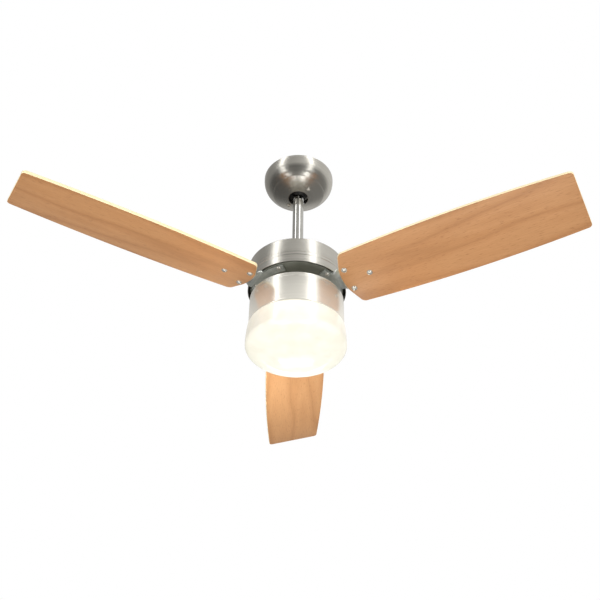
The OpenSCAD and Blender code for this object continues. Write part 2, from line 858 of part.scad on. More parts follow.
module run_capacitor() {
    low = tray_low + tray_t;
    color([0.16, 0.16, 0.17])
    difference() {
        box([37, -23, low], [64, 23, low + 30]);
        for (y = [-12, 12]) translate([50, y, low + 26]) cylinder(r = 2, h = 5, $fn = 24);
    }
}

module lamp_side(i) {
    rotate((i - 1) * 180) translate([0, lamp_y, 0]) children();
}

module lamp_bracket() {
    t = 1.5;
    color([0.85, 0.85, 0.83])
    difference() {
        union() {
            box([holder_back - 12, -8, tray_low - t], [holder_back + t, 8, tray_low]);
            box([holder_back, -8, lamp_z - 9], [holder_back + t, 8, tray_low]);
        }
        translate([holder_back - 1, 0, lamp_z]) rotate([0, 90, 0]) cylinder(r = 2.2, h = 5, $fn = 32);
    }
}

// A cup with an open mouth that faces the fan's axis
module lamp_holder() {
    color([0.93, 0.91, 0.86])
    translate([0, 0, lamp_z]) rotate([0, 90, 0])
    difference() {
        translate([0, 0, holder_mouth]) cylinder(r = holder_r, h = holder_back - holder_mouth);
        translate([0, 0, holder_mouth - 1]) cylinder(r = cap_r + 0.6, h = cap_end - holder_mouth + 1.5);
    }
}

module bulb_cap() {
    color("gold")
    translate([0, 0, lamp_z]) rotate([0, 90, 0]) {
        translate([0, 0, holder_mouth]) cylinder(r = cap_r, h = cap_end - holder_mouth - 4);
        translate([0, 0, cap_end - 4 - eps]) cylinder(r1 = cap_r, r2 = 3.5, h = 4);
    }
}

// A small globe that narrows to its cap
module bulb() {
    join_a = 40;
    color([1, 0.97, 0.88])
    translate([bulb_x, 0, lamp_z]) rotate([0, 90, 0]) rotate_extrude()
        polygon(concat(
            [for (p = arc(0, 0, bulb_r, bulb_r, -90, join_a, 26)) [max(p.x, 0), p.y]],
            [[8.6, holder_mouth - bulb_x - 5], [8.2, holder_mouth - bulb_x], [0, holder_mouth - bulb_x]]
        ));
}

module lamp_bracket_1() { lamp_side(1) lamp_bracket(); }
module lamp_bracket_2() { lamp_side(2) lamp_bracket(); }
module lamp_holder_1() { lamp_side(1) lamp_holder(); }
module lamp_holder_2() { lamp_side(2) lamp_holder(); }
module bulb_cap_1() { lamp_side(1) bulb_cap(); }
module bulb_cap_2() { lamp_side(2) bulb_cap(); }
module bulb_1() { lamp_side(1) bulb(); }
module bulb_2() { lamp_side(2) bulb(); }

/* ---- the shade ---- */

module shade_ring() {
    color("silver")
    union() {
        ring(neck_r + ring_t, neck_r, shoulder_z, ring_top);
        around(lug_count, lock_lug_from + 2.5) translate([0, 0, ring_top - lock_lug_t])
            rotate_extrude(angle = lock_lug_a)
            translate([neck_r + ring_t - 0.5, 0])
                square([housing_r - sheet - 0.6 - neck_r - ring_t + 0.5, lock_lug_t]);
    }
}

// The glass's outline, drawn in by a distance d for its inner face
function shade_wall(d) =
    let (
        r = shade_r - d,
        c = shade_corner - [d, d],
        low = shade_low + d
    )
    concat(
        [for (k = [0:6]) let (z = shoulder_z - 3 + (shade_wide_z - shoulder_z + 3) * k / 6)
            [r - 2.6 * pow((z - shade_wide_z) / (shoulder_z - shade_wide_z), 2), z]],
        arc(r - c.x, low + shade_sag + c.y, c.x, c.y, 0, -90, 10),
        [for (k = [1:8]) let (u = 1 - k / 8) [(r - c.x) * u, low + shade_sag * u * u]]
    );

module glass_shade() {
    outer = shade_wall(0);
    inner = shade_wall(glass_t);
    color([1, 0.98, 0.92])
    turned(concat(
        [[neck_r, neck_top], [neck_r, shoulder_z]],
        arc(outer[0].x - 3, shoulder_z - 3, 3, 3, 90, 30, 3),
        outer,
        [for (i = [len(inner) - 1:-1:1]) inner[i]],
        [[neck_r - glass_t, shoulder_z - 4], [neck_r - glass_t, neck_top]]
    ));
}

hanger_bracket();
canopy();
canopy_screws();
remote_receiver();
terminal_block();
hanger_ball();
ball_pin();
ball_set_screw();
downrod();
motor_lead();
lead_connectors();
coupling_cover();
motor_yoke();
yoke_pin();
yoke_clip();
yoke_set_screws();
motor_cover();
cover_screws();
motor_shaft();
stator_core();
stator_windings();
upper_inner_race();
upper_balls();
upper_outer_race();
lower_inner_race();
lower_balls();
lower_outer_race();
rotor_upper_shell();
rotor_lower_shell();
rotor_cage();
rotor_screws();
arm_1();
arm_2();
arm_3();
foot_screws();
blade_1();
blade_2();
blade_3();
blade_screws();
jam_nut();
light_housing();
housing_clips();
kit_plate();
kit_nut();
standoffs();
lamp_tray();
tray_screws();
run_capacitor();
lamp_bracket_1();
lamp_bracket_2();
lamp_holder_1();
lamp_holder_2();
bulb_cap_1();
bulb_cap_2();
bulb_1();
bulb_2();
shade_ring();
glass_shade();
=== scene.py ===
# Ceiling fan with light: the finishes and the finer shapes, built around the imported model.
import bpy
import json
from math import pi, sin, cos, acos, atan2, sqrt, radians
from mathutils import Matrix, Vector


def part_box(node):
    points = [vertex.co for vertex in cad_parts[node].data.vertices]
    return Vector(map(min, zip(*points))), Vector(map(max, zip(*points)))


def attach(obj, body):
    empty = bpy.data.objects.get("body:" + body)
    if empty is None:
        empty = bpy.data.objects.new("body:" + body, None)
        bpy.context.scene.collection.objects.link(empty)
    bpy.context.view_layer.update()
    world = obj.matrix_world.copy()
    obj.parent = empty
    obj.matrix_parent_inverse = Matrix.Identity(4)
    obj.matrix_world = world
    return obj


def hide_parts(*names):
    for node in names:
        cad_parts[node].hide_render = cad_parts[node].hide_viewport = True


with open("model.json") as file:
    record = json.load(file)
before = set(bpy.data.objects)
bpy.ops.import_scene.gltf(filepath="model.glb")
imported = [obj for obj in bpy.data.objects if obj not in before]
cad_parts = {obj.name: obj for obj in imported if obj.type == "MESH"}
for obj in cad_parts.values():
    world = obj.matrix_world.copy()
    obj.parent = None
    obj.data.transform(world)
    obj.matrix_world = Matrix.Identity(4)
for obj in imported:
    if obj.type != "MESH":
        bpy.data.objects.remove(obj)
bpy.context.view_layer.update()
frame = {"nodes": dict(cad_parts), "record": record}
nodes = frame["nodes"]
mm = 0.001
print("loaded the frame:", len(nodes), "nodes")


# Small tools

def deselectAll():
    if bpy.context.mode != "OBJECT":
        bpy.ops.object.mode_set(mode="OBJECT")
    bpy.ops.object.select_all(action="DESELECT")


def pick(*pieces):
    deselectAll()
    for piece in pieces:
        piece.select_set(True)
    bpy.context.view_layer.objects.active = pieces[0]


def editAll(piece):
    pick(piece)
    bpy.ops.object.mode_set(mode="EDIT")
    bpy.ops.mesh.select_all(action="SELECT")


def drawOutline(name, points, closed=True):
    # A plane is merged to one point, and that point is extruded along the outline
    deselectAll()
    bpy.ops.mesh.primitive_plane_add(size=0.001, location=points[0])
    piece = bpy.context.object
    piece.name = name
    bpy.ops.object.transform_apply(location=True, rotation=True, scale=True)
    bpy.ops.object.mode_set(mode="EDIT")
    bpy.ops.mesh.select_all(action="SELECT")
    bpy.ops.mesh.merge(type="CENTER")
    for here, there in zip(points, points[1:]):
        step = [there[k] - here[k] for k in range(3)]
        bpy.ops.mesh.extrude_region_move(TRANSFORM_OT_translate={"value": step})
    if closed:
        step = [points[0][k] - points[-1][k] for k in range(3)]
        bpy.ops.mesh.extrude_region_move(TRANSFORM_OT_translate={"value": step})
        bpy.ops.mesh.select_all(action="SELECT")
        bpy.ops.mesh.remove_doubles(threshold=1e-6)
    bpy.ops.object.mode_set(mode="OBJECT")
    return piece


def spinOutline(name, outline, steps=144, closed=True, angle=40):
    # outline is a list of (radius, height), spun once round the fan's axis
    piece = drawOutline(name, [(r, 0, z) for r, z in outline], closed)
    editAll(piece)
    bpy.ops.mesh.spin(steps=steps, angle=2 * pi, center=(0, 0, 0), axis=(0, 0, 1))
    bpy.ops.mesh.select_all(action="SELECT")
    bpy.ops.mesh.remove_doubles(threshold=2e-6)
    bpy.ops.mesh.normals_make_consistent(inside=False)
    bpy.ops.object.mode_set(mode="OBJECT")
    bpy.ops.object.shade_smooth_by_angle(angle=radians(angle))
    return piece


def arcPoints(centre, radii, start, end, count):
    return [(centre[0] + radii[0] * cos(radians(start + (end - start) * k / count)),
             centre[1] + radii[1] * sin(radians(start + (end - start) * k / count)))
            for k in range(count + 1)]


def roundCorner(before, corner, after, radius, count):
    # The arc that takes the place of a sharp corner in a flat outline
    b = Vector(corner)
    u = (Vector(before) - b).normalized()
    v = (Vector(after) - b).normalized()
    half = u.angle(v) / 2
    middle = b + (u + v).normalized() * radius / sin(half)
    p = b + u * radius / (sin(half) / cos(half)) - middle
    q = b + v * radius / (sin(half) / cos(half)) - middle
    start = atan2(p.y, p.x)
    turn = (atan2(q.y, q.x) - start + 3 * pi) % (2 * pi) - pi
    return [(middle.x + radius * cos(start + turn * k / count),
             middle.y + radius * sin(start + turn * k / count)) for k in range(count + 1)]


def addBevel(piece, width, segments=2, angle=35):
    pick(piece)
    bevel = piece.modifiers.new("edge", "BEVEL")
    bevel.width = width
    bevel.segments = segments
    bevel.limit_method = "ANGLE"
    bevel.angle_limit = radians(angle)
    bevel.use_clamp_overlap = True
    bpy.ops.object.modifier_apply(modifier=bevel.name)
    bpy.ops.object.shade_smooth_by_angle(angle=radians(30))


def softEdged(nodeName, pieceName, width):
    # A merged copy of a model piece whose sharp edges are broken
    piece = nodes[nodeName].copy()
    piece.data = nodes[nodeName].data.copy()
    piece.name = pieceName
    for key in [k for k in piece.keys() if k.startswith("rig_")]:
        del piece[key]
    piece.parent = None
    bpy.context.scene.collection.objects.link(piece)
    piece.matrix_world = Matrix.Identity(4)
    editAll(piece)
    bpy.ops.mesh.remove_doubles(threshold=5e-6)
    bpy.ops.mesh.dissolve_limited(angle_limit=radians(0.5))
    bpy.ops.object.mode_set(mode="OBJECT")
    if piece.data.has_custom_normals:
        bpy.ops.mesh.customdata_custom_splitnormals_clear()
    addBevel(piece, width)
    return piece


def placeCopy(piece, name, matrix):
    made = piece.copy()
    made.data = piece.data.copy()
    made.name = name
    bpy.context.scene.collection.objects.link(made)
    made.matrix_world = matrix
    pick(made)
    bpy.ops.object.transform_apply(location=True, rotation=True, scale=True)
    return made


def joinPieces(pieces, name):
    pick(*pieces)
    bpy.ops.object.join()
    pieces[0].name = name
    return pieces[0]


def dress(piece, *materials):
    piece.data.materials.clear()
    for material in materials:
        piece.data.materials.append(material)


def standFor(piece, body, slot, *nodeNames):
    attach(piece, body)
    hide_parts(*nodeNames)


# Material tools

def colour(hexText):
    values = [int(hexText[k:k + 2], 16) / 255 for k in (1, 3, 5)]
    return [v / 12.92 if v <= 0.04045 else ((v + 0.055) / 1.055) ** 2.4 for v in values] + [1]


def startMaterial(name):
    material = bpy.data.materials.new(name)
    material.use_nodes = True
    tree = material.node_tree
    return material, tree, tree.nodes["Principled BSDF"]


def addNode(tree, kind, inputs=None, **settings):
    node = tree.nodes.new(kind)
    for name, value in settings.items():
        setattr(node, name, value)
    for name, value in (inputs or {}).items():
        if isinstance(value, bpy.types.NodeSocket):
            tree.links.new(value, node.inputs[name])
        else:
            node.inputs[name].default_value = value
    return node


def addRamp(tree, factor, stops):
    ramp = addNode(tree, "ShaderNodeValToRGB", {"Fac": factor})
    elements = ramp.color_ramp.elements
    while len(elements) < len(stops):
        elements.new(0.5)
    for element, (place, value) in zip(elements, stops):
        element.position = place
        element.color = value
    return ramp.outputs["Color"]


# Metals

def makeSpunNickel(name, look):
    # Satin nickel plate, spun and brushed round the axis: fine rings, tall bright bands, a warm grey body
    material, tree, shader = startMaterial(name)
    place = addNode(tree, "ShaderNodeTexCoord").outputs["Object"]
    apart = addNode(tree, "ShaderNodeSeparateXYZ", {0: place})
    flat = addNode(tree, "ShaderNodeCombineXYZ", {0: apart.outputs[0], 1: apart.outputs[1]})
    radius = addNode(tree, "ShaderNodeVectorMath", {0: flat.outputs[0]}, operation="LENGTH")
    # Brush lines: they change across the radius and the height, and hardly along a ring
    across = addNode(tree, "ShaderNodeMath", {0: radius.outputs["Value"], 1: apart.outputs[2]},
                     operation="ADD")
    alongX = addNode(tree, "ShaderNodeMath", {0: apart.outputs[0], 1: look["along"]}, operation="MULTIPLY")
    alongY = addNode(tree, "ShaderNodeMath", {0: apart.outputs[1], 1: look["along"]}, operation="MULTIPLY")
    ringPlace = addNode(tree, "ShaderNodeCombineXYZ",
                        {0: across.outputs[0], 1: alongX.outputs[0], 2: alongY.outputs[0]}).outputs[0]
    fine = addNode(tree, "ShaderNodeTexNoise", {"Vector": ringPlace, "Scale": 1 / (look["line"] * mm),
                                                "Detail": 3, "Roughness": 0.6})
    broad = addNode(tree, "ShaderNodeTexNoise", {"Vector": ringPlace, "Scale": 1 / (look["band"] * mm),
                                                 "Detail": 2})
    # Slow clouds in the plating
    cloud = addNode(tree, "ShaderNodeTexNoise", {"Vector": place, "Scale": 1 / (look["cloud"] * mm),
                                                 "Detail": 2})
    both = addNode(tree, "ShaderNodeMath", {0: fine.outputs[0], 1: broad.outputs[0]}, operation="ADD")
    mixed = addNode(tree, "ShaderNodeMath", {0: both.outputs[0], 1: cloud.outputs[0]}, operation="ADD")
    third = addNode(tree, "ShaderNodeMath", {0: mixed.outputs[0], 1: 1 / 3}, operation="MULTIPLY")
    tint = addRamp(tree, third.outputs[0], [(0.36, colour(look["dark"])), (0.64, colour(look["light"]))])
    dull = addNode(tree, "ShaderNodeMapRange", {"Value": third.outputs[0], "From Min": 0.35, "From Max": 0.65,
                                                "To Min": look["rough"][0], "To Max": look["rough"][1]})
    bump = addNode(tree, "ShaderNodeBump", {"Height": fine.outputs[0], "Strength": look["bump"],
                                            "Distance": 0.02 * mm})
    tree.links.new(tint, shader.inputs["Base Color"])
    tree.links.new(dull.outputs[0], shader.inputs["Roughness"])
    tree.links.new(bump.outputs[0], shader.inputs["Normal"])
    turned = addNode(tree, "ShaderNodeTangent", direction_type="RADIAL", axis="Z")
    tree.links.new(turned.outputs[0], shader.inputs["Tangent"])
    shader.inputs["Metallic"].default_value = 1
    shader.inputs["Anisotropic"].default_value = look["stretch"]
    # Painted glow: an emission that fades with height and stands in for lamp light falling on the metal
    if "glow" in look:
        (low, high), light = look["glow"]
        fade = addNode(tree, "ShaderNodeMapRange", {"Value": apart.outputs[2], "From Min": look["mouth"],
                                                    "From Max": look["top"], "To Min": low, "To Max": high},
                       interpolation_type="SMOOTHSTEP")
        tree.links.new(fade.outputs[0], shader.inputs["Emission Strength"])
        shader.inputs["Emission Color"].default_value = colour(light)
    return material


def makeGrained(name, look):
    # Cast, moulded, plated and painted surfaces: a fine grain over slow clouds of colour and gloss
    material, tree, shader = startMaterial(name)
    place = addNode(tree, "ShaderNodeTexCoord").outputs["Object"]
    grain = addNode(tree, "ShaderNodeTexNoise", {"Vector": place, "Scale": 1 / (look["grain"] * mm),
                                                 "Detail": 4})
    cloud = addNode(tree, "ShaderNodeTexNoise", {"Vector": place, "Scale": 1 / (look["cloud"] * mm),
                                                 "Detail": 3})
    both = addNode(tree, "ShaderNodeMath", {0: grain.outputs[0], 1: cloud.outputs[0]}, operation="ADD")
    half = addNode(tree, "ShaderNodeMath", {0: both.outputs[0], 1: 0.5}, operation="MULTIPLY")
    tint = addRamp(tree, half.outputs[0], [(0.38, colour(look["dark"])), (0.62, colour(look["light"]))])
    dull = addNode(tree, "ShaderNodeMapRange", {"Value": half.outputs[0], "From Min": 0.35, "From Max": 0.65,
                                                "To Min": look["rough"][0], "To Max": look["rough"][1]})
    bump = addNode(tree, "ShaderNodeBump", {"Height": grain.outputs[0], "Strength": look["bump"],
                                            "Distance": look["grain"] * 0.2 * mm})
    tree.links.new(tint, shader.inputs["Base Color"])
    tree.links.new(dull.outputs[0], shader.inputs["Roughness"])
    tree.links.new(bump.outputs[0], shader.inputs["Normal"])
    shader.inputs["Metallic"].default_value = look["metal"]
    if "ior" in look:
        shader.inputs["IOR"].default_value = look["ior"]
    shader.inputs["Coat Weight"].default_value = look.get("coat", 0)
    shader.inputs["Coat Roughness"].default_value = 0.08
    return material


# line, band and cloud are sizes in mm; along is how little the lines change round a ring
nickelLook = {"line": 0.5, "band": 6, "cloud": 60, "along": 0.004, "dark": "#b3b0a8", "light": "#c6c3bb",
              "rough": (0.22, 0.28), "bump": 0.025, "stretch": 0.6}
spunNickel = makeSpunNickel("spunSatinNickel", nickelLook)
# The cup above the shade gets a painted glow on its brushed skin, warm and strongest at its mouth, that
# stands in for the lamps' light
cupLow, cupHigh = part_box("light_housing")
nickelWithPaintedGlow = makeSpunNickel("spunSatinNickelPaintedGlow", dict(nickelLook, mouth=cupLow.z, top=cupHigh.z,
                                                     glow=((0.36, 0.18), "#fffbf0")))

# Each look: sizes in mm, colours in sRGB
grainedLooks = {
    # Bright zinc on pressed steel: pale, faintly blue, with soft cloudy spangle
    "zincPlatedSteel": {"grain": 0.6, "cloud": 14, "dark": "#b9bdb9", "light": "#d6d9d4",
                        "rough": (0.28, 0.42), "bump": 0.12, "metal": 0.82},
    # Nickel plated screws: small, bright and clean
    "nickelPlatedScrew": {"grain": 0.4, "cloud": 5, "dark": "#cfccc2", "light": "#e8e5dc",
                          "rough": (0.16, 0.28), "bump": 0.06, "metal": 0.75},
    # Bright drawn tube
    "brightTube": {"grain": 0.5, "cloud": 40, "dark": "#b4b3ae", "light": "#cbcac6",
                   "rough": (0.10, 0.18), "bump": 0.05, "metal": 1},
    # Dark cast aluminium rotor: matt, greenish grey, grainy from the mould
    "castAluminium": {"grain": 1.0, "cloud": 22, "dark": "#83847a", "light": "#9a9b90",
                      "rough": (0.42, 0.62), "bump": 0.5, "metal": 0.85},
    # Grey paint on a cast yoke
    "paintedCasting": {"grain": 1.2, "cloud": 20, "dark": "#54544f", "light": "#6a6a65",
                       "rough": (0.4, 0.55), "bump": 0.5, "metal": 0, "ior": 1.5},
    "groundSteel": {"grain": 0.4, "cloud": 12, "dark": "#8f9091", "light": "#b3b4b4",
                    "rough": (0.18, 0.3), "bump": 0.06, "metal": 1},
    "blackOxideSteel": {"grain": 0.5, "cloud": 5, "dark": "#1b1b1c", "light": "#2b2b2c",
                        "rough": (0.35, 0.5), "bump": 0.2, "metal": 0.6},
    # Black paint on the pressed bracket: even, slightly orange-peeled; it is kept this dark also as painted
    # shade for the view up into the canopy
    "blackPaintAndShade": {"grain": 0.8, "cloud": 18, "dark": "#101010", "light": "#1c1c1b",
                          "rough": (0.4, 0.55), "bump": 0.2, "metal": 0, "ior": 1.5},
    # Moulded nylon ball: black, slightly waxy
    "blackNylon": {"grain": 0.7, "cloud": 12, "dark": "#0b0b0c", "light": "#151516",
                   "rough": (0.35, 0.5), "bump": 0.15, "metal": 0, "ior": 1.53},
    "whiteAbs": {"grain": 0.5, "cloud": 25, "dark": "#dcdbd5", "light": "#e9e8e3",
                 "rough": (0.38, 0.5), "bump": 0.15, "metal": 0, "ior": 1.53},
    "creamPolyamide": {"grain": 0.5, "cloud": 12, "dark": "#dcd3bb", "light": "#ebe4d0",
                       "rough": (0.35, 0.5), "bump": 0.12, "metal": 0, "ior": 1.53},
    "siliconeSleeve": {"grain": 0.5, "cloud": 15, "dark": "#cfcec8", "light": "#dedcd6",
                       "rough": (0.5, 0.62), "bump": 0.1, "metal": 0, "ior": 1.41},
    "whiteEnamel": {"grain": 1.5, "cloud": 40, "dark": "#e6e6e1", "light": "#f3f3ef",
                    "rough": (0.16, 0.26), "bump": 0.08, "metal": 0, "ior": 1.5, "coat": 0.3},
    "blackCase": {"grain": 0.6, "cloud": 14, "dark": "#1a1a1c", "light": "#262628",
                  "rough": (0.25, 0.38), "bump": 0.12, "metal": 0, "ior": 1.53},
    "glazedCeramic": {"grain": 0.8, "cloud": 12, "dark": "#e0dccd", "light": "#efece0",
                      "rough": (0.12, 0.22), "bump": 0.1, "metal": 0, "ior": 1.52, "coat": 0.4},
    "platedBrass": {"grain": 0.4, "cloud": 6, "dark": "#b39a5f", "light": "#d4bd80",
                    "rough": (0.2, 0.32), "bump": 0.08, "metal": 1},
}
looks = {name: makeGrained(name, look) for name, look in grainedLooks.items()}
looks["spunSatinNickel"] = spunNickel


def waveScale(gap):
    # The Scale at which a Wave texture repeats once in every gap
    return 2 * pi / 20 / gap


def makeStackedSteel():
    # Thin varnished steel sheets, one on another, with the lines drawn coarser than the real sheets
    material, tree, shader = startMaterial("stackedCoreSteel")
    place = addNode(tree, "ShaderNodeTexCoord").outputs["Object"]
    wave = addNode(tree, "ShaderNodeTexWave", {"Vector": place, "Scale": waveScale(pi * mm),
                                               "Distortion": 0.2}, wave_type="BANDS", bands_direction="Z")
    tint = addRamp(tree, wave.outputs[0], [(0.3, colour("#3c3e42")), (0.7, colour("#6a6d70"))])
    bump = addNode(tree, "ShaderNodeBump", {"Height": wave.outputs[0], "Strength": 0.4, "Distance": 0.1 * mm})
    tree.links.new(tint, shader.inputs["Base Color"])
    tree.links.new(bump.outputs[0], shader.inputs["Normal"])
    shader.inputs["Metallic"].default_value = 0.9
    shader.inputs["Roughness"].default_value = 0.42
    return material


def makeCopperWinding():
    # Enamelled copper wire: glossy red brown, ridged by the turns
    material, tree, shader = startMaterial("enamelledCopperWire")
    place = addNode(tree, "ShaderNodeTexCoord").outputs["Object"]
    wave = addNode(tree, "ShaderNodeTexWave", {"Vector": place, "Scale": waveScale(1.2 * pi * mm),
                                               "Distortion": 1.5, "Detail": 2, "Detail Scale": 1.2},
                   wave_type="RINGS", rings_direction="Z")
    tint = addRamp(tree, wave.outputs[0], [(0.2, colour("#6d3216")), (0.8, colour("#c0703a"))])
    bump = addNode(tree, "ShaderNodeBump", {"Height": wave.outputs[0], "Strength": 0.7, "Distance": 0.3 * mm})
    tree.links.new(tint, shader.inputs["Base Color"])
    tree.links.new(bump.outputs[0], shader.inputs["Normal"])
    shader.inputs["Metallic"].default_value = 0.8
    shader.inputs["Roughness"].default_value = 0.3
    shader.inputs["Coat Weight"].default_value = 0.5
    return material


looks["stackedCoreSteel"] = makeStackedSteel()
looks["enamelledCopperWire"] = makeCopperWinding()


# Wood and glass

def makeBeechLaminate(look):
    # Beech laminate on a board: long pale grain with arched figure, short dark flecks, a satin melamine face
    material, tree, shader = startMaterial("beechLaminate")
    place = addNode(tree, "ShaderNodeUVMap", uv_map="boardFace").outputs["UV"]
    # Arched figure: the trunk's rings, cut along their length
    figurePlace = addNode(tree, "ShaderNodeMapping", {"Vector": place,
                                                      "Scale": (look["along"], look["across"], 1)})
    warp = addNode(tree, "ShaderNodeTexNoise", {"Vector": figurePlace.outputs[0], "Scale": 1.0, "Detail": 2,
                                                "Roughness": 0.45})
    pushed = addNode(tree, "ShaderNodeMath", {0: warp.outputs[0], 1: look["rings"]}, operation="MULTIPLY")
    ringed = addNode(tree, "ShaderNodeMath", {0: pushed.outputs[0], 1: 1.0}, operation="PINGPONG")
    body = addRamp(tree, ringed.outputs[0], [(0.0, colour(look["dark"])), (0.35, colour(look["mid"])),
                                             (1.0, colour(look["light"]))])
    # Fibre lines, drawn a millimetre apart, which is coarser than the real ones, so that they show
    fibrePlace = addNode(tree, "ShaderNodeMapping", {"Vector": place, "Scale": (0.03, 1, 1)})
    fibre = addNode(tree, "ShaderNodeTexNoise", {"Vector": fibrePlace.outputs[0], "Detail": 4,
                                                 "Scale": 1 / (look["fibre"] * mm), "Roughness": 0.65})
    lines = addRamp(tree, fibre.outputs[0], [(0.35, colour(look["dark"])), (0.62, colour(look["light"]))])
    lined = addNode(tree, "ShaderNodeMix", {0: look["fibreShare"], 6: body, 7: lines}, data_type="RGBA")
    # Flecks: the short dark marks of beech
    fleckPlace = addNode(tree, "ShaderNodeMapping", {"Vector": place, "Scale": (0.14, 1, 1)})
    fleck = addNode(tree, "ShaderNodeTexNoise", {"Vector": fleckPlace.outputs[0], "Detail": 1,
                                                 "Scale": 1 / (look["fleck"] * mm)})
    fleckMask = addNode(tree, "ShaderNodeMapRange", {"Value": fleck.outputs[0], "From Min": 0.6,
                                                     "From Max": 0.75, "To Max": 0.6})
    marked = addNode(tree, "ShaderNodeMix", {0: fleckMask.outputs[0], 6: lined.outputs[2],
                                             7: colour(look["fleckTint"])}, data_type="RGBA")
    # Broad change of tone from leaf to leaf of the veneer
    broad = addNode(tree, "ShaderNodeTexNoise", {"Vector": place, "Scale": 5, "Detail": 1})
    tone = addNode(tree, "ShaderNodeMapRange", {"Value": broad.outputs[0], "From Min": 0.3, "From Max": 0.7,
                                                "To Min": 0.94, "To Max": 1.05})
    toned = addNode(tree, "ShaderNodeVectorMath", {0: marked.outputs[2], "Scale": tone.outputs[0]},
                    operation="SCALE")
    dull = addNode(tree, "ShaderNodeMapRange", {"Value": fibre.outputs[0], "To Min": 0.34, "To Max": 0.5})
    bump = addNode(tree, "ShaderNodeBump", {"Height": fibre.outputs[0], "Strength": 0.12,
                                            "Distance": 0.1 * mm})
    tree.links.new(toned.outputs[0], shader.inputs["Base Color"])
    tree.links.new(dull.outputs[0], shader.inputs["Roughness"])
    tree.links.new(bump.outputs[0], shader.inputs["Normal"])
    shader.inputs["IOR"].default_value = 1.5
    shader.inputs["Coat Weight"].default_value = 0.15
    shader.inputs["Coat Roughness"].default_value = 0.25
    return material


# along and across stretch the figure; fibre and fleck are widths in mm
beechLook = {"along": 1.5, "across": 9, "rings": 16, "fibre": 1.1, "fibreShare": 0.4, "fleck": 1.8,
             "light": "#bd8b5d", "mid": "#b27e50", "dark": "#a27045", "fleckTint": "#8d5c35"}
looks["beechLaminate"] = makeBeechLaminate(beechLook)

# Cream edge band round the board: smooth plastic, a little brighter than the face
looks["creamEdgeBand"] = makeGrained("creamEdgeBand", {
    "grain": 1.0, "cloud": 30, "dark": "#f6e3b4", "light": "#fff0c8", "rough": (0.28, 0.4),
    "bump": 0.05, "metal": 0, "ior": 1.5})


def makeLitOpal(name, look):
    # Opal glass with the lamps on behind it: milky white, softly bright, a thin gloss on its skin
    material, tree, shader = startMaterial(name)
    place = addNode(tree, "ShaderNodeTexCoord").outputs["Object"]
    milk = addNode(tree, "ShaderNodeTexNoise", {"Vector": place, "Scale": 1 / (look["milk"] * mm),
                                                "Detail": 2})
    tint = addRamp(tree, milk.outputs[0], [(0.35, colour(look["shade"])), (0.65, colour(look["tint"]))])
    apart = addNode(tree, "ShaderNodeSeparateXYZ", {0: place})
    glow = addNode(tree, "ShaderNodeMapRange", {"Value": apart.outputs[2], "From Min": look["low"],
                                                "From Max": look["high"], "To Min": look["glow"][0],
                                                "To Max": look["glow"][1]}, interpolation_type="SMOOTHSTEP")
    tree.links.new(tint, shader.inputs["Base Color"])
    tree.links.new(glow.outputs[0], shader.inputs["Emission Strength"])
    shader.inputs["Emission Color"].default_value = colour(look["light"])
    shader.inputs["Roughness"].default_value = 0.22
    shader.inputs["IOR"].default_value = 1.52
    shader.inputs["Coat Weight"].default_value = 0.3
    shader.inputs["Coat Roughness"].default_value = 0.05
    return material


shadeLow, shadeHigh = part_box("glass_shade")
opalLook = {"milk": 30, "shade": "#dad7c9", "tint": "#e3e0d5", "light": "#fffcee",
            "low": shadeLow.z, "high": shadeHigh.z - 8 * mm, "glow": (0.16, 0.36)}
looks["litOpalGlass"] = makeLitOpal("litOpalGlass", opalLook)
lampLook = dict(opalLook, glow=(1.5, 1.5))
looks["litLampGlass"] = makeLitOpal("litLampGlass", lampLook)
print("made the finishes:", len(looks) + 1)  # the nickel with the painted glow is the one beside the looks


# Canopy

canopyLow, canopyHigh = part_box("canopy")
screwLow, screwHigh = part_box("canopy_screws")
canopy = {"rim": 2 * mm, "wall": 1.2 * mm, "shoulder": 20 * mm, "shoulderDrop": 37 * mm, "hole": 20.5 * mm,
          "bow": 2.6, "crease": 0.35 * mm, "slope": 0.577, "bowlWall": 1.1, "seat": -51.4 * mm,
          "padRadius": 4.6 * mm, "padHeight": 4.2 * mm, "headRadius": 3.8 * mm}


def canopyOutline(look, radius, inward):
    # A steep upper wall, a soft crease, then a shallow bowl down to the hole
    upperSteps, lowerSteps = 16, 14
    upper = [(radius - inward - look["shoulder"] * (k / upperSteps) ** look["bow"],
              -look["rim"] - look["shoulderDrop"] * k / upperSteps) for k in range(upperSteps + 1)]
    creaseRadius = radius - look["shoulder"]
    creaseZ = -look["rim"] - look["shoulderDrop"]
    reach = creaseRadius - look["hole"]
    flatten = (canopyLow.z - creaseZ + look["slope"] * reach) / (reach * reach)
    lower = []
    for k in range(1, lowerSteps + 1):
        drop = reach * k / lowerSteps
        lower.append((creaseRadius - drop, creaseZ - look["slope"] * drop + flatten * drop * drop
                      + inward * look["bowlWall"]))
    if inward:
        return upper[:-1] + lower
    # A fine rolled line marks the crease
    c = look["crease"]
    line = [(creaseRadius + 1.3 * c, creaseZ + 0.9 * c), (creaseRadius, creaseZ + 1.2 * c),
            (creaseRadius - 1.3 * c, creaseZ - 0.75 * c)]
    return upper[:-1] + line + lower


